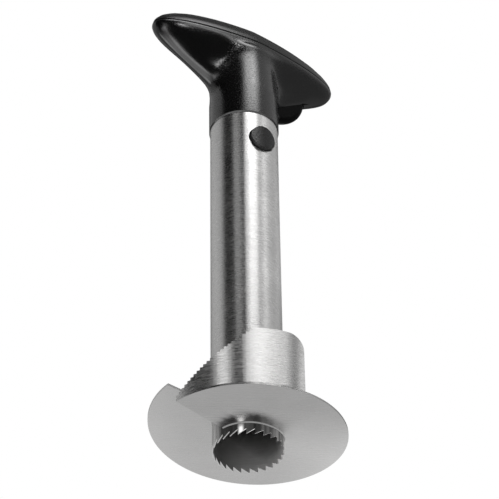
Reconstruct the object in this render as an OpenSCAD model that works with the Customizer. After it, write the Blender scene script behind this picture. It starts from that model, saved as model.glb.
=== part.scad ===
// Pineapple slicer: a coring tube with a helical slicing blade and a handle that lifts off a two-button latch.
// The frame has +Z up the tube and its origin on the axis, at the tips of the core cutter's teeth.
// The handle lies along X and the latch buttons face -Y and +Y.

/* [Coring tube] */
// Outer diameter of the tube
tube_d = 33; // [31:0.5:36]
// Wall of the tube
tube_wall = 0.5; // [0.4:0.05:0.8]
// Length of the tube
tube_len = 168.7; // [130:0.5:200]

/* [Core cutter] */
// Wall of the toothed sleeve
cutter_wall = 0.5; // [0.4:0.05:0.8]
// How far the sleeve reaches up into the tube
cutter_grip = 26; // [12:1:40]
// Number of saw teeth
cutter_teeth = 26; // [18:1:32]
// Height of the saw teeth
cutter_tooth_h = 2.5; // [1.5:0.1:3.5]

/* [Slicing blade] */
// Outer diameter of the blade
blade_d = 89; // [80:0.2:96]
// Thickness of the blade's sheet
blade_sheet = 1; // [0.8:0.1:1.5]
// Rise of the blade from its leading edge to its trailing end, which sets the thickness of a slice
blade_rise = 11.6; // [9:0.1:14]
// Height of the leading edge above the teeth's tips
blade_lead_z = 5.8; // [4.5:0.1:9]
// Angle that the blade covers
blade_span = 353; // [340:1:355]
// Direction of the leading edge, from +X
blade_start = 193.5; // [180:0.5:210]
// Angle over which the leading edge is ground thin
edge_grind = 6; // [3:0.5:12]
// Thickness left at the ground edge
edge_land = 0.25; // [0.15:0.05:0.5]

/* [Ring wall] */
// Height of the wall above the leading edge
wall_h = 30.2; // [20:0.2:36]
// Thickness of the wall's sheet
wall_sheet = 1; // [0.8:0.1:1.5]
// Angle that the wall covers
wall_span = 78; // [65:1:100]
// Angle that the toothed slope covers
slope_span = 49.6; // [35:0.2:55]
// Number of teeth on the slope
wall_teeth = 24; // [14:1:30]
// Height of the upright face of a slope tooth
wall_tooth_h = 1.35; // [0.4:0.05:1.6]
// Radius of the upper corner at the back end
wall_corner = 8; // [3:0.5:10]

/* [Welds] */
// Leg of the weld between the blade and the core cutter
hub_leg = 0.5; // [0.3:0.1:1.4]
// Leg of the weld between the blade and the ring wall
rim_leg = 0.8; // [0.5:0.1:1.4]

/* [Handle] */
// Diameter of the neck
neck_d = 34; // [33.5:0.5:38]
// Wall of the neck and the grip
handle_wall = 2.8; // [2:0.1:3.2]
// Gap between the tube's rim and the neck
rim_gap = 0.3; // [0.2:0.05:0.6]
// Height of the neck up to where the wings start to grow out of it
neck_h = 17; // [14:0.5:22]
// Height of the parting line above the rim, at the middle
seam_h = 51; // [46:0.5:60]
// Length of the grip from tip to tip
grip_len = 104; // [90:1:124]
// Width of the grip along the parting line, at the middle
grip_w = 27.5; // [24:0.5:34]
// Width of the wings between the finger hollows, at the neck
beam_w = 13; // [11:0.5:18]
// Radius of the lug behind one wing
lug_r = 20.8; // [16:0.2:22]
// Thickness of the lug
lug_t = 5; // [3:0.25:6]
// Radius of the arch that the grip follows
arch_r = 850; // [500:10:1500]
// Rise of the cover above the parting line, at the middle
crown_h = 14.5; // [9:0.5:18]
// Depth of the cover's lip below the parting line
lip_h = 2.5; // [1.5:0.25:3.25]
// Thickness of the cover and its lip
cover_wall = 2; // [1.5:0.1:2.5]
// Gap of the parting line
seam_gap = 0.25; // [0.15:0.05:0.4]
// Thickness of the floor inside the neck
floor_t = 3; // [2:0.25:4]

/* [Latch] */
// Distance from the rim down to the middle of the buttons
button_drop = 15.5; // [14:0.25:20]
// Diameter of a button
button_d = 13.2; // [11:0.2:14]
// How far a button stands out of the tube
button_out = 1.9; // [1:0.1:2.5]
// Travel of a button
button_travel = 3.2; // [2.8:0.1:3.4]
// Width of the flange round a button's inner end
flange_rim = 1.5; // [1:0.1:1.8]
// Thickness of the flange
flange_t = 2; // [1.5:0.1:2.5]
// Thickness of the cap that closes the plug's chamber
plug_cap_t = 3; // [2:0.25:4]
// Thickness of the rib between the two springs
rib_t = 3; // [2:0.25:4]
// Wire of the springs
wire_d = 0.8; // [0.5:0.1:1]
// Mean diameter of the springs
spring_d = 8; // [7:0.25:10]
// Turns of each spring
spring_turns = 3.5; // [3:0.5:4]
// Length of the stubs that centre the springs
stub_l = 1.1; // [0.8:0.1:1.4]

/* [Screws] */
// Thread diameter of the screws that hold the plug
screw_d = 3; // [2.5:0.1:3.5]
// Head diameter of the screws
head_d = 5.6; // [5:0.1:6.5]
// Height of the heads
head_h = 2; // [1.5:0.1:2.5]
// Length of the screws under the head
screw_len = 12; // [9:0.5:14]
// Distance between the two screws
screw_gap = 15; // [12:0.5:17]

/* [Fits] */
// Radial clearance of the plug in the tube
plug_play = 0.3; // [0.2:0.05:0.5]
// Radial clearance of a button in the tube's hole
hole_play = 0.3; // [0.2:0.05:0.5]
// Radial clearance of a button in the plug
guide_play = 0.1; // [0.05:0.01:0.2]
// Clearance of parts that are pushed together and stay
seat_play = 0.03; // [0.02:0.01:0.1]

/* [Hidden] */
$fn = 96;
eps = 0.01;

// Tube and core cutter
tube_r = tube_d / 2;
bore_r = tube_r - tube_wall;
cutter_r = bore_r - seat_play;
tooth_turn = 360 / cutter_teeth;
tooth_land = 0.2;

// Blade and ring wall
blade_r = blade_d / 2;
blade_bore_r = cutter_r + 2 * seat_play;
blade_step = 3;
blade_steps = ceil(blade_span / blade_step);
blade_top = blade_lead_z + blade_rise + blade_sheet;
rise_start = 0.12;
rise_end = 1.1;
wall_in_r = blade_r - wall_sheet;
wall_top = blade_lead_z + wall_h;
weld_gap = 0.02;
weld_hollow = 0.4;
steel = [0.74, 0.74, 0.73];
weld_steel = [0.66, 0.66, 0.66];
black_plastic = [0.07, 0.07, 0.075];
grey_plastic = [0.12, 0.12, 0.125];

// Heights along the tube
foot_gap = 0.4;
tube_foot = blade_top + foot_gap;
rim_z = tube_foot + tube_len;
neck_z = rim_z + rim_gap;
button_z = rim_z - button_drop;

// Handle
neck_r = neck_d / 2;
grip_r = grip_len / 2;
loop_points = 104;
tip_crowd = 2;
halvings = 16;
neck_edge = 0.6;
neck_taper = 3;
beam_gain = 5;
flare_share = 0.5;
rim_share = 0.84;
core_r = 8;
blend_pow = 6;
beam_plan = [2, 2];
seam_plan = [1.35, 2.5];
wing_root = 8;
wing_turn = 20;
neck_lift = 10.2;
tip_lift = 10.4;
lug_x = neck_r - 2.5;
lug_h = 36.8;
lug_sink = 1.2;
wing_levels = 20;
inner_levels = 8;
crown_levels = 9;
crown_square = 2;
rebate_gap = 0.5;
rebate_h = lip_h + rebate_gap;

// Latch
plug_r = bore_r - plug_play;
spigot_r = neck_r - handle_wall - seat_play;
button_r = button_d / 2;
flange_r = button_r + flange_rim;
chamber_x = flange_r + guide_play;
press_margin = 1.2;
spring_solid = wire_d * (spring_turns + 1);
chamber_y = rib_t / 2 + spring_solid + press_margin + button_travel + flange_t + seat_play;
chamber_top = button_z + chamber_x;
plug_foot = button_z - chamber_x - plug_cap_t;
floor_lift = 2;
floor_z = neck_z + neck_h + floor_lift - floor_t;
face_r = tube_r + button_out;
flange_y = chamber_y - seat_play;
spring_l = flange_y - flange_t - rib_t / 2;
stub_play = 0.25;
stub_r = spring_d / 2 - wire_d / 2 - stub_play;
curl_rings = 8;
wire_sides = 6;

// A point on a cubic curve
function cubic(p0, p1, p2, p3, s) =
    pow(1 - s, 3) * p0 + 3 * s * pow(1 - s, 2) * p1 + 3 * s * s * (1 - s) * p2 + s * s * s * p3;

// A smooth step from 0 to 1 between two limits
function fade(v, low, high) = let (t = min(1, max(0, (v - low) / (high - low)))) t * t * (3 - 2 * t);

// A value between a and b
function mix(a, b, t) = a + (b - a) * t;

// Distance from the middle to the edge of a spindle of half length a and half width b, in a direction
function spindle(a, b, plan, angle, low, high, left) =
    let (r = (low + high) / 2)
    left == 0 ? r :
    pow(r * abs(cos(angle)) / a, plan[0]) + pow(r * abs(sin(angle)) / b, plan[1]) > 1
        ? spindle(a, b, plan, angle, low, r, left - 1)
        : spindle(a, b, plan, angle, r, high, left - 1);

// Directions of an outline's points, close together towards the two tips
function outline_angle(i) =
    let (quarter = loop_points / 4, side = floor(i / quarter), t = i / quarter - side)
    side % 2 == 0 ? 90 * side + 90 * pow(t, tip_crowd) : 90 * (side + 1) - 90 * pow(1 - t, tip_crowd);

// A closed level outline: a spindle that flows into a round core of radius r, bent down along the arch
function outline(a, b, r, plan, level, bend) = [
    for (i = [0 : loop_points - 1])
        let (
            angle = outline_angle(i),
            wing = spindle(a, b, plan, angle, 0, a, halvings),
            reach = pow(pow(r, blend_pow) + pow(wing, blend_pow), 1 / blend_pow),
            x = reach * cos(angle)
        )
        [x, reach * sin(angle), level - bend * x * x / (2 * arch_r)]
];

// Faces between rings of n points each, as triangles
function ring_faces(n, rings, first = 0) = [
    for (k = [0 : rings - 2], i = [0 : n - 1])
        let (a = first + k * n + i, b = first + k * n + (i + 1) % n)
        each [[a, a + n, b + n], [a, b + n, b]]
];

// A solid from rings of points whose last ring joins the first
module ring_loft(loops) {
    n = len(loops[0]);
    points = [for (loop = loops) each loop];
    last = (len(loops) - 1) * n;
    joint = [
        for (i = [0 : n - 1])
            let (j = (i + 1) % n)
            each [[last + i, i, j], [last + i, j, last + j]]
    ];
    polyhedron(points, concat(ring_faces(n, len(loops)), joint), convexity = 6);
}

// A solid from rings of points, closed by a point at each end
module apex_loft(low, loops, high) {
    n = len(loops[0]);
    points = concat([low], [for (loop = loops) each loop], [high]);
    last = 1 + (len(loops) - 1) * n;
    top = len(points) - 1;
    low_faces = [for (i = [0 : n - 1]) [0, 1 + i, 1 + (i + 1) % n]];
    high_faces = [for (i = [0 : n - 1]) [last + i, top, last + (i + 1) % n]];
    polyhedron(points, concat(low_faces, ring_faces(n, len(loops), 1), high_faces), convexity = 6);
}

// A solid swept through rings of points, with flat ends
module sweep(rings) {
    n = len(rings[0]);
    points = [for (ring = rings) each ring];
    last = (len(rings) - 1) * n;
    start_face = [for (i = [1 : n - 2]) [0, i, i + 1]];
    end_face = [for (i = [1 : n - 2]) [last, last + i + 1, last + i]];
    polyhedron(points, concat(start_face, ring_faces(n, len(rings)), end_face), convexity = 6);
}

// A point at a radius, direction and height
function polar(r, angle, z) = [r * cos(angle), r * sin(angle), z];

// Height of the blade's lower face at an angle from the leading edge, level under the ring wall
function blade_z(turn) =
    blade_lead_z + blade_rise * cubic(0, rise_start, rise_end, 1, max(0, turn - wall_span) / (blade_span - wall_span));

// Thickness of the blade at an angle from the leading edge, thin where it is ground
function blade_t(turn) = edge_land + (blade_sheet - edge_land) * min(1, turn / edge_grind);

// One radial slice of the blade
function blade_slice(turn) =
    let (angle = blade_start + turn, z = blade_z(turn), top = z + blade_t(turn))
    [polar(blade_bore_r, angle, z), polar(blade_bore_r, angle, top), polar(blade_r, angle, top),
        polar(blade_r, angle, z)];

// Height of the ring wall's upper edge past the slope, with its rounded back corner
function wall_back_top(turn) =
    let (reach = max(0, wall_corner - (wall_span - turn) * PI / 180 * blade_r))
    wall_top - wall_corner + sqrt(max(0, wall_corner * wall_corner - reach * reach));

// One upright slice of the ring wall
function wall_slice(turn, top) =
    let (angle = blade_start + turn, foot = blade_z(turn) + blade_t(turn) + weld_gap)
    [polar(wall_in_r, angle, foot), polar(wall_in_r, angle, top), polar(blade_r, angle, top),
        polar(blade_r, angle, foot)];

// Half length, level and outline of the wings at a share s of the way up to the parting line
function wing_reach(s) = cubic(wing_root, wing_turn, grip_r, grip_r, s);
function wing_level(s) = cubic(neck_z + neck_h, neck_z + neck_h + neck_lift, rim_z + seam_h - tip_lift,
    rim_z + seam_h, s);
function wing_outline(s, inset, rise) =
    let (
        flare = fade(s, flare_share, 1),
        half = mix((beam_w + beam_gain * s) / 2, grip_w / 2, flare),
        core = mix(neck_r - neck_taper * s, core_r, fade(s, rim_share, 1))
    )
    outline(wing_reach(s) - inset, half - inset, core - inset, mix(beam_plan, seam_plan, flare),
        wing_level(s) + rise, s * (2 - s));

// A level outline of the neck
function neck_outline(r, level) = outline(wing_root / 2, wing_root / 2, r, beam_plan, level, 0);

// An outline of the cover, drawn in by an inset and shrunk towards the middle
function cover_outline(inset, share, level) = [
    for (p = outline(grip_r - inset, grip_w / 2 - inset, core_r - inset, seam_plan, 0, 0))
        let (x = p.x * share)
        [x, p.y * share, level - x * x / (2 * arch_r)]
];

// Share of the crown's height at a share of its plan
function crown_rise(share) = pow(1 - pow(share, crown_square), 1 / crown_square);

module core_tube() {
    color(steel)
        difference() {
            translate([0, 0, tube_foot])
                difference() {
                    cylinder(r = tube_r, h = tube_len);
                    translate([0, 0, -1])
                        cylinder(r = bore_r, h = tube_len + 2);
                }
            translate([0, 0, button_z])
                rotate([90, 0, 0])
                    cylinder(r = button_r + hole_play, h = 4 * tube_r, center = true);
        }
}

// The gap under one saw tooth, which rises along its back
module tooth_gap() {
    half = cutter_r * sin(tooth_turn / 2) - tooth_land / 2;
    rotate([90, 0, 90])
        translate([0, 0, cutter_r - 3 * cutter_wall])
            linear_extrude(5 * cutter_wall)
                polygon([[-half, -1], [-half, 0], [half, cutter_tooth_h], [half, -1]]);
}

module core_cutter() {
    color(steel)
        difference() {
            cylinder(r = cutter_r, h = tube_foot + cutter_grip);
            translate([0, 0, -1])
                cylinder(r = cutter_r - cutter_wall, h = tube_foot + cutter_grip + 2);
            for (k = [0 : cutter_teeth - 1])
                rotate([0, 0, (k + 0.5) * tooth_turn])
                    tooth_gap();
        }
}

module spiral_blade() {
    color(steel)
        sweep([for (k = [0 : blade_steps]) blade_slice(blade_span * k / blade_steps)]);
}

module ring_wall() {
    tooth_turn_w = slope_span / wall_teeth;
    slope_lift = 1.5;
    slope_foot = blade_lead_z + slope_lift;
    tooth_rise = (wall_top - slope_foot) / wall_teeth;
    step_face = 0.12;
    back_steps = 20;
    slope = [
        for (k = [0 : wall_teeth - 1])
            each [
                wall_slice(tooth_turn_w * k + step_face, min(wall_top, slope_foot + tooth_rise * k + wall_tooth_h)),
                wall_slice(tooth_turn_w * (k + 1), slope_foot + tooth_rise * (k + 1))
            ]
    ];
    back_turn = wall_span - slope_span;
    back = [for (k = [1 : back_steps])
        let (turn = slope_span + back_turn * sin(90 * k / back_steps))
        wall_slice(turn, min(wall_top, wall_back_top(turn)))];
    color(steel)
        sweep(concat(slope, back));
}

// A fillet weld along the blade between two angles, with its corner at a radius and its legs out and up or down
module blade_weld(corner_r, out, up, from_turn, to_turn) {
    steps = ceil((to_turn - from_turn) / blade_step);
    rings = [
        for (k = [0 : steps])
            let (
                turn = from_turn + (to_turn - from_turn) * k / steps,
                angle = blade_start + turn,
                foot = up > 0 ? blade_z(turn) + blade_t(turn) + weld_gap : blade_z(turn) - weld_gap,
                corner = polar(corner_r, angle, foot),
                mid = polar(corner_r + weld_hollow * out, angle, foot + weld_hollow * up),
                side = polar(corner_r + out, angle, foot),
                tip = polar(corner_r, angle, foot + up)
            )
            out * up < 0 ? [tip, corner, side, mid] : [corner, tip, mid, side]
    ];
    color(weld_steel)
        sweep(rings);
}

module hub_weld() {
    blade_weld(blade_bore_r, hub_leg, -hub_leg, 1, blade_span - 1);
}

module rim_weld() {
    blade_weld(wall_in_r - 2 * weld_gap, -rim_leg, rim_leg, edge_grind, wall_span - 1);
}

// The moulded skin of the neck and the wings, open below and at the parting line
module grip_shell() {
    outer = concat(
        [neck_outline(neck_r - neck_edge, neck_z), neck_outline(neck_r, neck_z + neck_edge)],
        [for (k = [0 : wing_levels]) wing_outline(sin(90 * k / wing_levels), 0, 0)]
    );
    inner = concat(
        [wing_outline(1, handle_wall, 0), wing_outline(1, handle_wall, -rebate_h)],
        [for (k = [inner_levels - 1 : -1 : 0])
            let (s = k / inner_levels)
            wing_outline(s, handle_wall, handle_wall * (1 - s))],
        [neck_outline(neck_r - handle_wall, neck_z)]
    );
    ring_loft(concat(outer, inner));
}

module screw_places() {
    for (side = [-1, 1])
        translate([side * screw_gap / 2, 0, floor_z])
            children();
}

// A round-edged lug behind the wing on the +X side, which grows out of the neck and the wing's underside
module hang_lug() {
    edge_r = lug_t / 2;
    reach = neck_r + lug_r;
    root_x = neck_r - handle_wall / 2;
    shares = [for (s = [0.25 : 0.05 : 0.8]) s];
    under = [for (s = shares) [wing_reach(s), wing_level(s) + lug_sink]];
    intersection() {
        translate([lug_x, 0, rim_z + lug_h])
            rotate([90, 0, 0])
                rotate_extrude() {
                    translate([0, -edge_r])
                        square([lug_r - edge_r, lug_t]);
                    intersection() {
                        translate([lug_r - edge_r, 0])
                            circle(edge_r);
                        translate([0, -edge_r])
                            square([lug_r, lug_t]);
                    }
                }
        rotate([90, 0, 0])
            linear_extrude(2 * lug_t, center = true)
                polygon(concat([[reach, rim_z], [root_x, rim_z], [root_x, under[0].y]], under,
                    [[reach, under[len(under) - 1].y]]));
    }
}

module handle_body() {
    color(black_plastic)
        difference() {
            union() {
                grip_shell();
                hang_lug();
                translate([0, 0, floor_z])
                    cylinder(r = neck_r - handle_wall / 2, h = floor_t);
            }
            screw_places()
                translate([0, 0, -1])
                    cylinder(d = screw_d + 2 * guide_play, h = floor_t + 2);
        }
}

module handle_cover() {
    seam = rim_z + seam_h + seam_gap;
    lip_inset = handle_wall + seam_gap;
    crown_in = crown_h - cover_wall;
    shares = [for (k = [0 : crown_levels]) sin(90 * (1 - k / (crown_levels + 1)))];
    inner = [for (k = [crown_levels : -2 : 1])
        cover_outline(lip_inset + cover_wall, shares[k], seam + crown_in * crown_rise(shares[k]) - seam_gap)];
    lip = [
        cover_outline(lip_inset + cover_wall, 1, seam - lip_h),
        cover_outline(lip_inset, 1, seam - lip_h),
        cover_outline(lip_inset, 1, seam)
    ];
    outer = [for (k = [0 : crown_levels])
        cover_outline(0, shares[k], seam + crown_h * crown_rise(shares[k]))];
    color(grey_plastic)
        apex_loft([0, 0, seam + crown_in], concat(inner, lip, outer), [0, 0, seam + crown_h]);
}

module latch_plug() {
    color(black_plastic)
        difference() {
            union() {
                translate([0, 0, plug_foot])
                    cylinder(r = plug_r, h = rim_z - plug_foot);
                translate([0, 0, rim_z - eps])
                    cylinder(r = spigot_r, h = floor_z - rim_z + eps);
            }
            translate([-chamber_x, -chamber_y, plug_foot - 1])
                cube([2 * chamber_x, 2 * chamber_y, chamber_top - plug_foot + 1]);
            translate([0, 0, button_z])
                rotate([90, 0, 0])
                    cylinder(r = button_r + guide_play, h = 4 * plug_r, center = true);
            screw_places()
                translate([0, 0, floor_t - screw_len - guide_play])
                    cylinder(d = screw_d + 2 * seat_play, h = screw_len);
        }
}

module plug_cap() {
    cap_x = chamber_x - seat_play;
    cap_y = chamber_y - seat_play;
    rib_gap = 1;
    rib_h = chamber_top - plug_foot - rib_gap;
    color(black_plastic)
        translate([0, 0, plug_foot]) {
            translate([-cap_x, -cap_y, 0])
                cube([2 * cap_x, 2 * cap_y, plug_cap_t]);
            translate([-cap_x, -rib_t / 2, 0])
                cube([2 * cap_x, rib_t, rib_h]);
            translate([0, 0, button_z - plug_foot])
                rotate([90, 0, 0])
                    cylinder(r = stub_r, h = rib_t + 2 * stub_l, center = true);
        }
}

// A latch button that faces -Y, with its face curved like the tube
module button() {
    color(black_plastic)
        union() {
            intersection() {
                translate([0, 0, button_z])
                    rotate([90, 0, 0])
                        cylinder(r = button_r, h = 2 * face_r);
                translate([0, 0, button_z - button_d])
                    cylinder(r = face_r, h = 2 * button_d);
                translate([-button_d, -2 * face_r, button_z - button_d])
                    cube([2 * button_d, 2 * face_r - flange_y + flange_t, 2 * button_d]);
            }
            translate([0, flange_t - flange_y, button_z])
                rotate([90, 0, 0])
                    cylinder(r = flange_r, h = flange_t);
            translate([0, flange_t - flange_y + stub_l, button_z])
                rotate([90, 0, 0])
                    cylinder(r = stub_r, h = stub_l + flange_t / 2);
        }
}

module button_front() {
    button();
}

module button_back() {
    rotate([0, 0, 180])
        button();
}

// Middle of the spring's wire at a number of turns, from the rib towards the button that faces -Y
function spring_point(turns) =
    let (
        room = spring_l - wire_d - 2 * seat_play,
        y = -(rib_t / 2 + seat_play + wire_d / 2 + room * turns / spring_turns)
    )
    [spring_d / 2 * cos(360 * turns), y, button_z + spring_d / 2 * sin(360 * turns)];

// A ring of the spring's wire
function wire_ring(turns) =
    let (middle = spring_point(turns), out = [cos(360 * turns), 0, sin(360 * turns)])
    [
        for (i = [0 : wire_sides - 1])
            let (around = 360 * i / wire_sides)
            middle + wire_d / 2 * (cos(around) * out + [0, sin(around), 0])
    ];

spring_steps = round(spring_turns * curl_rings);
spring_clear = min([
    for (k = [0 : spring_steps - curl_rings])
        for (m = [k + curl_rings / 2 : spring_steps])
            norm(spring_point(k / curl_rings) - spring_point(m / curl_rings)) - wire_d
]);
echo(spring_least_gap = spring_clear);

module spring() {
    color(weld_steel)
        sweep([for (k = [0 : spring_steps]) wire_ring(k / curl_rings)]);
}

module spring_front() {
    spring();
}

module spring_back() {
    rotate([0, 0, 180])
        spring();
}

module plug_screws() {
    color(weld_steel)
        screw_places()
            translate([0, 0, floor_t]) {
                translate([0, 0, seat_play])
                    cylinder(d = head_d, h = head_h);
                translate([0, 0, -screw_len])
                    cylinder(d = screw_d, h = screw_len + head_h / 2);
            }
}

core_tube();
core_cutter();
spiral_blade();
ring_wall();
hub_weld();
rim_weld();
handle_body();
handle_cover();
latch_plug();
plug_cap();
button_front();
button_back();
spring_front();
spring_back();
plug_screws();
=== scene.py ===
"""Looks of the pineapple slicer: materials, springs, camera, light and floor around the CAD part."""

import math

import bpy
from mathutils import Matrix, Vector


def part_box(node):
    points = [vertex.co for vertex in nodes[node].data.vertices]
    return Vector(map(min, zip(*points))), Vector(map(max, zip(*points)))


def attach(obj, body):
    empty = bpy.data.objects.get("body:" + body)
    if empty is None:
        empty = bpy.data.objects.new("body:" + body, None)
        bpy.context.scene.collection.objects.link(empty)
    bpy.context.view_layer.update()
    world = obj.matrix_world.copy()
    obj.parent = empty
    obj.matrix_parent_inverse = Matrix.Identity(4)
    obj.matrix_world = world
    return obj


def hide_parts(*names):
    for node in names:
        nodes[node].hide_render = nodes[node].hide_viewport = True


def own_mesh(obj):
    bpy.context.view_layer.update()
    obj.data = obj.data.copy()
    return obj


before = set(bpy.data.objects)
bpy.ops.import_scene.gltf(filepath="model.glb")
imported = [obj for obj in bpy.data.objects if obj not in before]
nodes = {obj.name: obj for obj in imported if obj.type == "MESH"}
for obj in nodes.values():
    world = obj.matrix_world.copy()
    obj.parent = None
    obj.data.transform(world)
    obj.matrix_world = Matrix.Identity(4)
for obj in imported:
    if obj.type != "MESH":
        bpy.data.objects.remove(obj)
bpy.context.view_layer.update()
scene = bpy.context.scene
MM = 0.001


# Node helpers


class Graph:
    """A short way to build a material's node tree."""

    def __init__(self, tree):
        self.tree = tree

    def node(self, kind, **values):
        made = self.tree.nodes.new(kind)
        for key, value in values.items():
            setattr(made, key, value)
        return made

    def link(self, source, target):
        self.tree.links.new(source, target)

    def feed(self, socket, value):
        if isinstance(value, bpy.types.NodeSocket):
            self.link(value, socket)
        else:
            socket.default_value = value

    def math(self, operation, a, b=0.0, c=0.0, clamp=False):
        made = self.node("ShaderNodeMath", operation=operation, use_clamp=clamp)
        for socket, value in zip(made.inputs, (a, b, c)):
            self.feed(socket, value)
        return made.outputs[0]

    def scaled(self, vector, scale):
        made = self.node("ShaderNodeVectorMath", operation="MULTIPLY")
        self.feed(made.inputs[0], vector)
        made.inputs[1].default_value = scale
        return made.outputs[0]

    def dot(self, vector, direction):
        made = self.node("ShaderNodeVectorMath", operation="DOT_PRODUCT")
        self.feed(made.inputs[0], vector)
        self.feed(made.inputs[1], direction)
        return made.outputs["Value"]

    def length(self, vector):
        made = self.node("ShaderNodeVectorMath", operation="LENGTH")
        self.feed(made.inputs[0], vector)
        return made.outputs["Value"]

    def joined(self, x, y, z):
        made = self.node("ShaderNodeCombineXYZ")
        for socket, value in zip(made.inputs, (x, y, z)):
            self.feed(socket, value)
        return made.outputs[0]

    def noise(self, vector, scale, detail=2.0, rough=0.5):
        made = self.node("ShaderNodeTexNoise")
        self.feed(made.inputs["Vector"], vector)
        made.inputs["Scale"].default_value = scale
        made.inputs["Detail"].default_value = detail
        made.inputs["Roughness"].default_value = rough
        return made.outputs["Fac"]

    def span(self, value, low, high, out_low, out_high):
        made = self.node("ShaderNodeMapRange")
        made.clamp = True
        self.feed(made.inputs["Value"], value)
        names = ("From Min", "From Max", "To Min", "To Max")
        for name, number in zip(names, (low, high, out_low, out_high)):
            self.feed(made.inputs[name], number)
        return made.outputs["Result"]

    def tint(self, factor, dark, light):
        made = self.node("ShaderNodeMix", data_type="RGBA")
        self.feed(made.inputs["Factor"], factor)
        self.feed(made.inputs["A"], dark)
        self.feed(made.inputs["B"], light)
        return made.outputs["Result"]

    def bump(self, height, strength, distance, normal=None):
        made = self.node("ShaderNodeBump")
        made.inputs["Strength"].default_value = strength
        made.inputs["Distance"].default_value = distance
        self.feed(made.inputs["Height"], height)
        if normal is not None:
            self.link(normal, made.inputs["Normal"])
        return made.outputs["Normal"]


def new_material(name):
    """A material with an empty tree, its graph and its main shader."""
    material = bpy.data.materials.new(name)
    material.use_nodes = True
    tree = material.node_tree
    tree.nodes.clear()
    graph = Graph(tree)
    shader = graph.node("ShaderNodeBsdfPrincipled")
    out = graph.node("ShaderNodeOutputMaterial")
    graph.link(shader.outputs["BSDF"], out.inputs["Surface"])
    place = graph.node("ShaderNodeTexCoord").outputs["Object"]
    return material, graph, shader, place


def grey(level, warm=0.0):
    return (level * (1 + warm), level, level * (1 - warm), 1.0)


# Materials

# Directions: up the tube, and across the photograph, which is also the way that the disc is brushed
UPWARD = (0.0, 0.0, 1.0)
BRUSH = (0.845, -0.534, 0.0)
# Brushed steel: share and depth of the coarse lines, how much finer the fine lines are, and their depth
COARSE_SHARE = 0.55
COARSE_DEPTH = 0.06 * MM
FINER = 2.7
FINE_DEPTH = 0.03 * MM
FINE_FLECK = 0.6
STEEL_CLOUD = 45.0
CLOUD_RANGE = (0.3, 0.7, -0.03, 0.03)
STEEL_WARMTH = 0.006
QUARTER_TURN = 0.25
# Painted reflection and painted shade on the toothed sleeve, by the place across it: a painted light
# streak, painted dark stretches and lighter painted sides
PAINTED_STREAK_EDGE = (0.5 * MM, 1.7 * MM)
PAINTED_SHADE_LEFT_EDGE = (-13.5 * MM, -11.5 * MM)
PAINTED_SHADE_RIGHT_EDGE = (4 * MM, 12 * MM)
SLEEVE_SHADE = 0.15
SLEEVE_RIGHT_PAINTED_LIGHT = 0.75
# Inside of the tube: painted shade, darker on the left and nearly black in the depth
PAINTED_SIDE_SHADE_RANGE = (-12 * MM, 8 * MM, 0.75, 0.0)
DEPTH_SHADE = 0.1


def sleeve_painted_reflection(g, place, tone, painted_streak):
    """The tone of the toothed sleeve with a painted reflection streak, painted shade beside it and a
    lighter painted right side.
    """
    across = g.dot(place, BRUSH)
    off = g.math("ABSOLUTE", g.math("SUBTRACT", across, painted_streak))
    left = g.span(across, *PAINTED_SHADE_LEFT_EDGE, 1.0, SLEEVE_SHADE)
    painted_right_light = g.span(across, *PAINTED_SHADE_RIGHT_EDGE, SLEEVE_SHADE, SLEEVE_RIGHT_PAINTED_LIGHT)
    shade = g.math("MAXIMUM", left, painted_right_light)
    # The painted reflection streak
    light = g.span(off, *PAINTED_STREAK_EDGE, 1.0, 0.0)
    return g.math("MULTIPLY_ADD", tone, shade, light, clamp=True)


def depth_shade(g, place, colour, level, deep):
    """The colour of the tube's inside with painted shade: darker with height between two levels and on
    the left side.
    """
    dark = g.span(g.dot(place, UPWARD), *deep, 0.0, 1.0)
    side_shade = g.span(g.dot(place, BRUSH), *PAINTED_SIDE_SHADE_RANGE)
    return g.tint(g.math("MAXIMUM", dark, side_shade), colour, grey(level * DEPTH_SHADE))


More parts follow.
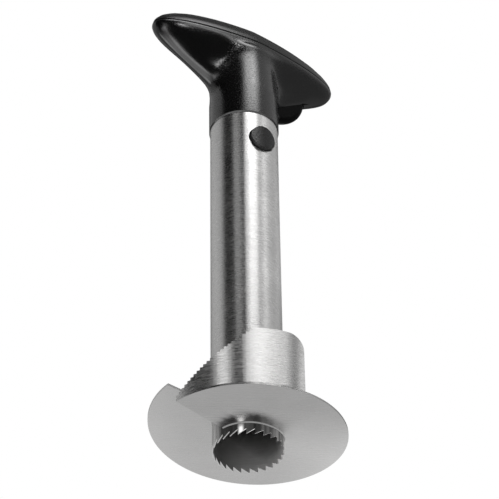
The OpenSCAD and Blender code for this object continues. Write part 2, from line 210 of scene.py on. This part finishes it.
def steel(name, level, strokes, rough, aniso, brush=None, contrast=0.16, fleck=0.2, sharp=0.14,
          shift=(0.0, 0.0, 0.0), deep=None, painted_streak=None):
    """Brushed stainless steel. The brush runs around the axis, or along the direction given."""
    material, g, shader, place = new_material(name)
    if brush is None:
        moved = g.node("ShaderNodeVectorMath", operation="ADD")
        g.link(place, moved.inputs[0])
        moved.inputs[1].default_value = shift
        grid = moved.outputs[0]
        tangent = g.node("ShaderNodeTangent", direction_type="RADIAL", axis="Z").outputs["Tangent"]
        shader.inputs["Anisotropic Rotation"].default_value = QUARTER_TURN
    else:
        side = (-brush[1], brush[0], 0.0)
        grid = g.joined(g.dot(place, brush), g.dot(place, side), g.dot(place, UPWARD))
        tangent = g.joined(*brush)
    lines = g.noise(g.scaled(grid, strokes), 1.0, 4.0, 0.65)
    fine = g.noise(g.scaled(grid, [s * FINER for s in strokes]), 1.0, 3.0, 0.6)
    cloud = g.noise(place, STEEL_CLOUD, 3.0, 0.55)
    both = g.math("MULTIPLY_ADD", fine, 1 - COARSE_SHARE, g.math("MULTIPLY", lines, COARSE_SHARE))
    tone = g.span(both, 0.5 - sharp, 0.5 + sharp, 0.0, 1.0)
    # The sleeve gets a painted reflection streak and painted shade
    if painted_streak is not None:
        tone = sleeve_painted_reflection(g, place, tone, painted_streak)
    low, high = rough
    grain = g.math("MULTIPLY_ADD", tone, high - low, low)
    grain = g.math("ADD", grain, g.span(cloud, *CLOUD_RANGE))
    darker = grey(level * (1 - contrast), STEEL_WARMTH)
    lighter = grey(min(1.0, level * (1 + contrast)), STEEL_WARMTH)
    colour = g.tint(tone, darker, lighter)
    # Painted shade inside the tube: darker in the depth and on the left
    if deep is not None:
        colour = depth_shade(g, place, colour, level, deep)
    g.link(colour, shader.inputs["Base Color"])
    g.link(grain, shader.inputs["Roughness"])
    shader.inputs["Metallic"].default_value = 1.0
    shader.inputs["Anisotropic"].default_value = aniso
    g.link(tangent, shader.inputs["Tangent"])
    normal = g.bump(lines, fleck, COARSE_DEPTH)
    normal = g.bump(fine, fleck * FINE_FLECK, FINE_DEPTH, normal)
    g.link(normal, shader.inputs["Normal"])
    return material


# Parting line of the handle: height on the axis, radius of its arch, and reach of its rounded edges
SEAM_LEVEL = 238.6 * MM
ARCH = 850.0 * MM
SEAM_EDGE = 0.9 * MM
# Grain of the plastic: its depth, the sparkle it gives, and how calm it is outside the neck
GRAIN_DEPTH = 0.3 * MM
SPARKLE_RANGE = (0.35, 0.65, 0.12, -0.08)
NECK_RANGE = (17.5 * MM, 20.5 * MM, 1.0, 0.3)
PLASTIC_CLOUD = 60.0
HAZE = 0.08


def seam_rounding(g, place):
    """Height of a surface near the handle's parting line, whose edges are rounded."""
    axes = g.node("ShaderNodeSeparateXYZ")
    g.link(place, axes.inputs[0])
    bend = g.math("MULTIPLY", g.math("POWER", axes.outputs["X"], 2.0), 0.5 / ARCH)
    away = g.math("ABSOLUTE", g.math("SUBTRACT", g.math("ADD", axes.outputs["Z"], bend), SEAM_LEVEL))
    made = g.node("ShaderNodeMapRange", interpolation_type="SMOOTHSTEP")
    g.link(away, made.inputs["Value"])
    made.inputs["From Min"].default_value = -SEAM_EDGE
    made.inputs["From Max"].default_value = SEAM_EDGE
    return made.outputs["Result"]


def plastic(name, level, rough, grain_scale, grain, gloss, seam=0.0):
    """Moulded black plastic with a fine sparked grain."""
    material, g, shader, place = new_material(name)
    specks = g.noise(place, grain_scale, 1.0, 0.5)
    cloud = g.noise(place, PLASTIC_CLOUD, 3.0, 0.5)
    tone = g.span(specks, 0.3, 0.7, 0.0, 1.0)
    g.link(g.tint(tone, grey(level * 0.8), grey(level * 1.3)), shader.inputs["Base Color"])
    haze = g.math("MULTIPLY_ADD", cloud, HAZE, rough - HAZE / 2)
    calm = g.span(g.length(g.scaled(place, (1.0, 1.0, 0.0))), *NECK_RANGE)
    sparkle = g.math("MULTIPLY", g.span(specks, *SPARKLE_RANGE), calm)
    g.link(g.math("ADD", haze, sparkle), shader.inputs["Roughness"])
    shader.inputs["Specular IOR Level"].default_value = gloss
    normal = g.bump(g.math("MULTIPLY", specks, calm), grain, GRAIN_DEPTH)
    if seam:
        normal = g.bump(seam_rounding(g, place), 1.0, seam, normal)
    g.link(normal, shader.inputs["Normal"])
    return material


# Fineness of the lines along three axes: brushed around, brushed along, drawn, even, turned and wound
ROUND = (130.0, 130.0, 4000.0)
ALONG = (45.0, 2600.0, 400.0)
DRAWN = (130.0, 130.0, 8.0)
ISO = (900.0, 900.0, 900.0)
TURNED = (700.0, 700.0, 90.0)
WOUND = (90.0, 1200.0, 90.0)
# Place across the sleeve of its painted reflection streak
PAINTED_STREAK_MIDDLE = -3.1 * MM
SLEEVE_SHIFT = (0.05, 0.02, 0.0)
BORE_DEPTH = (4 * MM, 26 * MM)
looks = {
    "tube": steel("tube_steel", 0.62, ROUND, (0.17, 0.37), 0.95, contrast=0.08, fleck=0.06),
    # The cutter's drawn lines get a very strong contrast, so its colour holds painted streaks of
    # reflection besides the real drawn marks
    "cutter": steel(
        "cutter_steel", 0.5, DRAWN, (0.14, 0.26), 0.3,
        contrast=0.88, fleck=0.05, sharp=0.09, shift=SLEEVE_SHIFT, painted_streak=PAINTED_STREAK_MIDDLE,
    ),
    "bore": steel("bore_steel", 0.9, ROUND, (0.5, 0.62), 0.0, fleck=0.1, deep=BORE_DEPTH),
    "blade": steel("blade_steel", 0.66, ALONG, (0.18, 0.4), 0.96, BRUSH, contrast=0.07, fleck=0.05),
    "wall": steel("wall_steel", 0.66, ROUND, (0.12, 0.42), 0.96, contrast=0.06, fleck=0.2),
    "ground": steel("ground_steel", 0.85, ISO, (0.3, 0.42), 0.0, contrast=0.08, fleck=0.1),
    # A dark copy of the steel for the cut faces of the teeth, which paints the shade in the gaps between
    # them
    "shaded_cut": steel("cut_steel", 0.22, ISO, (0.35, 0.5), 0.0, contrast=0.2, fleck=0.1),
    "weld": steel("weld_steel", 0.52, ISO, (0.2, 0.32), 0.0, contrast=0.08),
    "screw": steel("screw_steel", 0.55, TURNED, (0.25, 0.36), 0.0),
    "spring": steel("spring_steel", 0.55, WOUND, (0.2, 0.3), 0.0),
    "handle": plastic("handle_plastic", 0.0025, 0.19, 1300.0, 0.15, 0.9, 0.35 * MM),
    "cover": plastic("cover_plastic", 0.003, 0.23, 1300.0, 0.15, 0.5, 0.6 * MM),
    # A darker, nearly glossless copy of the handle's plastic for the lug, which paints the shade that
    # falls on it under the wing
    "lug": plastic("lug_plastic", 0.002, 0.3, 1700.0, 0.3, 0.05),
    "latch": plastic("latch_plastic", 0.014, 0.5, 1800.0, 0.2, 0.4),
    "button": plastic("button_plastic", 0.004, 0.3, 1300.0, 0.3, 0.55),
}


# CAD nodes: joined vertices, smooth faces and crisp edges


def facing_out(centre, normal):
    """How far a face looks away from the tube's axis: 1 straight out, -1 straight in."""
    flat = Vector((centre.x, centre.y, 0.0)).normalized()
    return normal.dot(flat)


def tube_face(centre, normal):
    out = facing_out(centre, normal)
    return 0 if out > 0.5 else 1 if out < -0.5 else 2


def blade_face(centre, normal):
    out = facing_out(centre, normal)
    return 1 if out > 0.7 else 0


LUG_MIDDLE = Vector((14.5, 0.0, 224.3)) * MM
LUG_REACH = (17.5 * MM, 21.0 * MM)
LUG_SIDE = 2.6 * MM


def body_face(centre, normal):
    """The lug behind one wing, which gets the painted shade look, or the rest of the handle's body."""
    spoke = Vector((centre.x - LUG_MIDDLE.x, 0.0, centre.z - LUG_MIDDLE.z))
    if abs(centre.y) > LUG_SIDE or centre.x < 1.1 * LUG_REACH[0] or spoke.length > LUG_REACH[1]:
        return 0
    flat = abs(normal.y) > 0.9
    round_edge = spoke.length > LUG_REACH[0] and abs(normal.y) > 0.1 and normal.dot(spoke) > 0
    return 1 if flat or round_edge else 0


# Cut faces of the teeth get the dark steel with painted shade
def wall_face(centre, normal):
    return 0 if abs(facing_out(centre, normal)) > 0.5 else 1


WELD_REACH = 0.002 * MM
CREASE = 25
HANDLE_CREASE = 38


def dress(name, look_names, pick=None, crease=CREASE):
    """Gives a node its materials, smooth faces and edges that are sharp above an angle in degrees."""
    part = nodes[name]
    part.data.materials.clear()
    for look in look_names:
        part.data.materials.append(looks[look])
    if "custom_normal" in part.data.attributes:
        part.data.attributes.remove(part.data.attributes["custom_normal"])
    for face in part.data.polygons:
        face.use_smooth = True
        if pick is not None:
            face.material_index = pick(face.center, face.normal)
    weld = part.modifiers.new("weld", "WELD")
    weld.merge_threshold = WELD_REACH
    split = part.modifiers.new("split", "EDGE_SPLIT")
    split.split_angle = math.radians(crease)


dress("core_tube", ["tube", "bore", "ground"], tube_face)
dress("core_cutter", ["cutter", "bore", "ground"], tube_face)
dress("spiral_blade", ["blade", "wall"], blade_face)
dress("ring_wall", ["wall", "shaded_cut"], wall_face)
for name in ("hub_weld", "rim_weld"):
    dress(name, ["weld"])
dress("handle_body", ["handle", "lug"], body_face, crease=HANDLE_CREASE)
dress("handle_cover", ["cover"], crease=HANDLE_CREASE)
for name in ("latch_plug", "plug_cap"):
    dress(name, ["latch"])
for name in ("button_front", "button_back"):
    dress(name, ["button"])
dress("plug_screws", ["screw"])


# Springs behind the buttons, wound with closed ends

WIRE = 0.8 * MM
COIL_RADIUS = 4.0 * MM
END_TURNS = 0.75
COIL_TURNS = 5.0
CLOSE_PITCH = 1.06
TURN_STEPS = 28
WIRE_SIDES = 12


def coil_rise(turn, length):
    """Height of the wire's middle: the end turns lie close, the others are spread evenly."""
    close = END_TURNS * CLOSE_PITCH * WIRE
    room = length - WIRE
    if turn < END_TURNS:
        return close * turn / END_TURNS
    if turn > COIL_TURNS - END_TURNS:
        return room - close * (COIL_TURNS - turn) / END_TURNS
    return close + (room - 2 * close) * (turn - END_TURNS) / (COIL_TURNS - 2 * END_TURNS)


def make_spring(node, side):
    """A wound spring in the place of its CAD node. side is the way it points along Y."""
    low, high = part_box(node)
    length = high[1] - low[1]
    seat = low[1] if side > 0 else high[1]
    level = (low[2] + high[2]) / 2
    sides = WIRE_SIDES
    count = round(COIL_TURNS * TURN_STEPS)
    points = []
    for k in range(count + 1):
        turn = k / TURN_STEPS
        angle = 2 * math.pi * turn
        out = Vector((side * math.cos(angle), 0, math.sin(angle)))
        rise = seat + side * (WIRE / 2 + coil_rise(turn, length))
        middle = Vector((0, rise, level)) + COIL_RADIUS * out
        for i in range(sides):
            around = 2 * math.pi * i / sides
            spoke = math.cos(around) * out + Vector((0, side * math.sin(around), 0))
            points.append(middle + WIRE / 2 * spoke)
    faces = []
    for k in range(count):
        this, later = k * sides, (k + 1) * sides
        for i in range(sides):
            beside = (i + 1) % sides
            faces.append((this + i, this + beside, later + beside, later + i))
    faces.append(tuple(reversed(range(sides))))
    faces.append(tuple(count * sides + i for i in range(sides)))
    mesh = bpy.data.meshes.new(node + "_coil")
    mesh.from_pydata(points, [], faces)
    mesh.validate()
    mesh.materials.append(looks["spring"])
    for face in mesh.polygons[:-2]:
        face.use_smooth = True
    coil = bpy.data.objects.new(node + "_coil", mesh)
    scene.collection.objects.link(coil)
    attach(coil, "slicer")
    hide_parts(node)
    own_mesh(coil)


make_spring("spring_front", -1)
make_spring("spring_back", 1)


# Camera, at the photograph's viewpoint

EYE = Vector((-476.9, -743.5, -597.9)) * MM
AIM = Vector((1.60, -1.03, 115.35)) * MM
ROLL = -0.01444
LENS = 174.33
back = (EYE - AIM).normalized()
right = Vector((0, 0, 1)).cross(back).normalized()
up = back.cross(right)
right_rolled = math.cos(ROLL) * right + math.sin(ROLL) * up
up_rolled = math.cos(ROLL) * up - math.sin(ROLL) * right
camera_data = bpy.data.cameras.new("camera")
camera_data.lens = LENS
camera_data.sensor_width = 36.0
camera_data.clip_start = 0.01
camera_data.clip_end = 50.0
camera = bpy.data.objects.new("camera", camera_data)
turned = Matrix((right_rolled, up_rolled, back)).transposed().to_4x4()
camera.matrix_world = Matrix.Translation(EYE) @ turned
scene.collection.objects.link(camera)
scene.camera = camera


# Light: a white world, two softboxes, and a tent and cards that only reflections see

scene.view_settings.view_transform = "Standard"
FACING = math.degrees(math.atan2(back.y, back.x))
SKY_LEVEL = 0.55
BACKDROP_LEVEL = 1.0


def make_world():
    """A white backdrop, which lights the part less than it shows."""
    world = bpy.data.worlds.new("studio")
    scene.world = world
    world.use_nodes = True
    tree = world.node_tree
    tree.nodes.clear()
    g = Graph(tree)
    path = g.node("ShaderNodeLightPath")
    seen = g.math("MAXIMUM", path.outputs["Is Camera Ray"], path.outputs["Is Glossy Ray"])
    seen = g.math("MAXIMUM", seen, path.outputs["Is Transmission Ray"])
    sky = g.node("ShaderNodeBackground")
    sky.inputs["Strength"].default_value = SKY_LEVEL
    white = g.node("ShaderNodeBackground")
    white.inputs["Strength"].default_value = BACKDROP_LEVEL
    for shade in (sky, white):
        shade.inputs["Color"].default_value = (1, 1, 1, 1)
    mix = g.node("ShaderNodeMixShader")
    out = g.node("ShaderNodeOutputWorld")
    g.link(seen, mix.inputs[0])
    g.link(sky.outputs[0], mix.inputs[1])
    g.link(white.outputs[0], mix.inputs[2])
    g.link(mix.outputs[0], out.inputs["Surface"])


def sphere_point(azimuth, elevation, radius):
    a, e = math.radians(azimuth), math.radians(elevation)
    return Vector((math.cos(a) * math.cos(e), math.sin(a) * math.cos(e), math.sin(e))) * radius


def between(stops, turn):
    """A level between listed stops."""
    for (low, a), (high, b) in zip(stops, stops[1:]):
        if low <= turn <= high:
            return a + (b - a) * (turn - low) / (high - low)
    return stops[-1][1]


# Panels of the tent: middle, half width and soft edge by turn, the same by elevation, and level
PANELS = (
    (29, 7, 29, 53, 7, 7, 4.3),
    (100, 32, 16, 47, 8, 14, 0.24),
    (100, 30, 24, 15, 40, 20, 0.2),
    (-111, 27, 18, 15, 30, 15, 0.45),
    (180, 30, 20, 20, 30, 20, 0.1),
    (0, 180, 1, 90, 22, 8, 0.16),
)
TENT_BASE = 0.012
TENT_RADIUS = 1.7
GRIP_TENT_RADIUS = 1.65
TENT_MIDDLE = Vector((0, 0, 0.12))
TENT_ELEVATIONS = (-4, 88)
# Small panels that only the grip shows
GRIP_PANELS = (
    (27, 2, 2, 22.5, 2, 2, 10.0),
    (39, 6, 7, 33.5, 2, 3.5, 2.8),
    (50, 8, 12, 58, 2, 5, 2.6),
    (-4, 4, 8, 0, 6, 10, 0.7),
)
# Cards close to the steel: their radius, their lower and upper edge, and their levels by turn
CARDS = {
    "left_card": (
        0.4, 0.36, 0.48,
        (
            (-140, 0.1), (-109, 0.2), (-90, 0.06), (-73, 0.02), (-57, 0.0), (-46, 0.0), (-38, 0.13),
            (-30, 0.98), (-22, 1.0), (-12, 0.45), (-6, 0.1), (-2, 0.3), (4, 1.4),
        ),
    ),
    "front_card": (0.4, 0.42, 0.48, ((4, 2.4), (10, 4.6), (23, 3.8), (36, 2.8), (46, 1.5))),
    "right_card": (
        0.4, 0.36, 0.48,
        (
            (46, 1.5), (50, 1.4), (56, 2.3), (66, 2.5), (82, 1.1), (100, 0.58), (123, 0.62),
            (140, 0.48), (165, 0.72), (178, 0.72),
        ),
    ),
    "foot_card": (
        0.15, 0.05, 0.135,
        (
            (-60, 0.02), (-41, 0.02), (-35, 0.06), (-31, 0.5), (-26, 1.45), (-20, 1.55), (-17, 0.9),
            (-13, 0.2), (-11, 0.0), (-3.5, 0.0), (-1.5, 0.9), (3, 1.3), (13, 0.95), (23, 0.5),
            (32, 0.4), (38, 0.85), (43, 0.5), (49, 0.05), (55, 0.8), (62, 1.0),
        ),
    ),
    "sleeve_card": (0.019, 0.0005, 0.016, ((-19, 0.0), (-14, 1.0), (-11.5, 1.0), (-6.5, 0.0))),
}
# What each card lights, so that the handle sees the tent and the floor past the cards
UPPER_STEEL = ("core_tube", "core_cutter", "spiral_blade", "hub_weld")
LIT = {
    "left_card": UPPER_STEEL,
    "front_card": UPPER_STEEL,
    "right_card": UPPER_STEEL,
    "foot_card": ("ring_wall", "rim_weld"),
    "sleeve_card": ("core_cutter",),
}
GRIP = ("handle_body", "handle_cover")
# Softboxes: turn, elevation, distance, width, height and radiance
SOFTBOXES = {
    "key": (23, 40, 1.3, 0.8, 0.6, 5.5),
    "rim": (165, 30, 1.4, 0.9, 0.8, 2.0),
}
SOFTBOX_AIM = Vector((0, 0, 0.15))


def eased(value, low, high):
    """A soft step from 0 to 1."""
    share = min(1.0, max(0.0, (value - low) / (high - low)))
    return share * share * (3 - 2 * share)


def glowing(name, points, levels, across, rise, clear=False):
    """A sheet of points in rows that glows at its points' levels and that only reflections see."""
    row = across + 1
    faces = [
        (j * row + i, j * row + i + 1, (j + 1) * row + i + 1, (j + 1) * row + i)
        for j in range(rise)
        for i in range(across)
    ]
    mesh = bpy.data.meshes.new(name)
    mesh.from_pydata(points, [], faces)
    mesh.attributes.new("level", "FLOAT", "POINT").data.foreach_set("value", levels)
    sheet = bpy.data.objects.new(name, mesh)
    scene.collection.objects.link(sheet)
    material = bpy.data.materials.new(name)
    material.use_nodes = True
    material.node_tree.nodes.clear()
    g = Graph(material.node_tree)
    level = g.node("ShaderNodeAttribute", attribute_name="level")
    glow = g.node("ShaderNodeEmission")
    g.link(level.outputs["Fac"], glow.inputs["Strength"])
    shade = glow.outputs[0]
    if clear:
        both = g.node("ShaderNodeAddShader")
        g.link(shade, both.inputs[0])
        g.link(g.node("ShaderNodeBsdfTransparent").outputs[0], both.inputs[1])
        shade = both.outputs[0]
    out = g.node("ShaderNodeOutputMaterial")
    g.link(shade, out.inputs["Surface"])
    mesh.materials.append(material)
    for ray in ("camera", "diffuse", "shadow", "transmission", "volume_scatter"):
        setattr(sheet, "visible_" + ray, False)
    return sheet


def panel_level(panels, turn, elevation):
    """What panels of the tent give together in a direction."""
    total = 0.0
    for mid, half, soft, height, half_height, soft_height, level in panels:
        aside = abs((turn - mid + 180) % 360 - 180)
        across = 1 - eased(aside, half, half + soft)
        upward = 1 - eased(abs(elevation - height), half_height, half_height + soft_height)
        total += level * across * upward
    return total


def light_only(sheet, parts):
    """Keeps a sheet's light to some of the nodes."""
    lit = bpy.data.collections.new(sheet.name)
    for part in parts:
        lit.objects.link(nodes[part])
    sheet.light_linking.receiver_collection = lit


def make_dome(name, panels, base, radius, clear=False):
    """A dome of the light tent with soft-edged panels."""
    across, rise = 240, 46
    low, high = TENT_ELEVATIONS
    points, levels = [], []
    for j in range(rise + 1):
        elevation = low + (high - low) * j / rise
        for i in range(across + 1):
            turn = -180 + 360 * i / across
            points.append(TENT_MIDDLE + sphere_point(FACING + turn, elevation, radius))
            levels.append(base + panel_level(panels, turn, elevation))
    return glowing(name, points, levels, across, rise, clear)


def make_card(name, radius, foot, top, stops):
    """A curved upright card beside the tube."""
    across = 200
    first, last = stops[0][0], stops[-1][0]
    points, levels = [], []
    for height in (foot, top):
        for i in range(across + 1):
            turn = first + (last - first) * i / across
            points.append(sphere_point(FACING + turn, 0, radius) + Vector((0, 0, height)))
            levels.append(between(stops, turn))
    card = glowing(name, points, levels, across, 1, clear=True)
    light_only(card, LIT[name])


def softbox(name, turn, elevation, distance, width, height, radiance):
    """A lamp that reflections don't see."""
    data = bpy.data.lights.new(name, "AREA")
    data.shape = "RECTANGLE"
    data.size = width
    data.size_y = height
    data.energy = radiance * math.pi * width * height
    lamp = bpy.data.objects.new(name, data)
    lamp.location = SOFTBOX_AIM + sphere_point(FACING + turn, elevation, distance)
    lamp.rotation_euler = (lamp.location - SOFTBOX_AIM).to_track_quat("Z", "Y").to_euler()
    lamp.visible_glossy = False
    scene.collection.objects.link(lamp)


make_world()
make_dome("tent", PANELS, TENT_BASE, TENT_RADIUS)
grip_tent = make_dome("grip_tent", GRIP_PANELS, 0.0, GRIP_TENT_RADIUS, clear=True)
light_only(grip_tent, GRIP)
for name, card in CARDS.items():
    make_card(name, *card)
for name, box in SOFTBOXES.items():
    softbox(name, *box)


# Floor under the teeth, which the camera looks through from below

FLOOR_HALF = 12.0
FLOOR_PAINT = 0.86
# What reflections see on the floor: ranges of place in metres with the levels at both ends
CLOSE_AHEAD = (-0.045, 0.02, 0.66, 0.53)
CLOSE_LEFT = (-0.045, -0.03, 0.1, 0.0)
CORNER_RIGHT = (0.01, 0.045, 0.0, 0.24)
CORNER_BEHIND = (-0.04, 0.005, 1.0, 0.0)
FLOOR_CLOUD = 60.0
NEAR_EDGE = (0.09, 0.14)
NEAR_LEVEL = 1.1
POOL_EDGE = (0.26, 0.4, 1.0, 0.0)
FAR_SLANT = -1.3
FAR_BESIDE = (0.0, 0.4, 0.02, 0.3)
MOUTH_EDGE = (0.0115, 0.0135, 1.0, 0.0)
MOUTH_ASIDE = (-0.013, 0.013, 0.5, 3.5)
GLOW_EDGE = (0.6, 1.4)
# Light patches that the underside of the grip shows: middle and half size, ahead and aside, and level
GLOWS = (
    ((0.29, -0.03), (0.08, 0.05), 1.8),
    ((0.13, -0.13), (0.07, 0.06), 0.5),
    ((1.1, -0.2), (0.6, 0.12), 2.2),
    ((0.0, -0.36), (0.06, 0.14), 1.6),
)


def spread(g, value, middle, half):
    """Distance from a middle, in half sizes."""
    return g.math("MULTIPLY", g.math("ABSOLUTE", g.math("SUBTRACT", value, middle)), 1.0 / half)


def floor_glow(g):
    """How much the floor glows at a place for reflections."""
    place = g.node("ShaderNodeTexCoord").outputs["Object"]
    ahead = g.dot(place, Vector((back.x, back.y, 0)).normalized())
    aside = g.dot(place, right)
    distance = g.length(place)
    close = g.math("ADD", g.span(ahead, *CLOSE_AHEAD), g.span(aside, *CLOSE_LEFT))
    corner = g.math("MULTIPLY", g.span(aside, *CORNER_RIGHT), g.span(ahead, *CORNER_BEHIND))
    cloud = g.span(g.noise(place, FLOOR_CLOUD), *CLOUD_RANGE)
    close = g.math("ADD", g.math("ADD", close, corner), cloud)
    near = g.span(distance, *NEAR_EDGE, close, NEAR_LEVEL)
    beside = g.math("MULTIPLY_ADD", ahead, FAR_SLANT, g.math("ABSOLUTE", aside))
    far = g.span(beside, *FAR_BESIDE)
    pool = g.span(distance, *POOL_EDGE)
    glow = g.math("MULTIPLY_ADD", g.math("SUBTRACT", near, far), pool, far)
    for middle, half, level in GLOWS:
        off_ahead = spread(g, ahead, middle[0], half[0])
        off_aside = spread(g, aside, middle[1], half[1])
        off = g.math("MAXIMUM", off_ahead, off_aside)
        glow = g.math("ADD", glow, g.span(off, *GLOW_EDGE, level, 0.0))
    mouth = g.span(distance, *MOUTH_EDGE)
    dim = g.span(aside, *MOUTH_ASIDE)
    lit = g.math("MULTIPLY_ADD", mouth, g.math("SUBTRACT", dim, 1.0), 1.0)
    return g.math("MULTIPLY", glow, lit)


def make_floor():
    """A pale floor that keeps the shadow, glows for reflections and is clear from below."""
    size = FLOOR_HALF
    corners = [(-size, -size, 0), (size, -size, 0), (size, size, 0), (-size, size, 0)]
    mesh = bpy.data.meshes.new("floor")
    mesh.from_pydata(corners, [], [(0, 1, 2, 3)])
    floor = bpy.data.objects.new("floor", mesh)
    scene.collection.objects.link(floor)
    material = bpy.data.materials.new("floor")
    material.use_nodes = True
    material.node_tree.nodes.clear()
    g = Graph(material.node_tree)
    paint = g.node("ShaderNodeBsdfDiffuse")
    paint.inputs["Color"].default_value = grey(FLOOR_PAINT)
    pale = g.node("ShaderNodeEmission")
    g.link(floor_glow(g), pale.inputs["Strength"])
    clear = g.node("ShaderNodeBsdfTransparent")
    path = g.node("ShaderNodeLightPath")
    geometry = g.node("ShaderNodeNewGeometry")
    seen = g.math("MAXIMUM", path.outputs["Is Glossy Ray"], path.outputs["Is Transmission Ray"])
    first = g.node("ShaderNodeMixShader")
    second = g.node("ShaderNodeMixShader")
    out = g.node("ShaderNodeOutputMaterial")
    g.link(seen, first.inputs[0])
    g.link(paint.outputs[0], first.inputs[1])
    g.link(pale.outputs[0], first.inputs[2])
    g.link(geometry.outputs["Backfacing"], second.inputs[0])
    g.link(first.outputs[0], second.inputs[1])
    g.link(clear.outputs[0], second.inputs[2])
    g.link(second.outputs[0], out.inputs["Surface"])
    mesh.materials.append(material)
    floor.visible_shadow = False


make_floor()
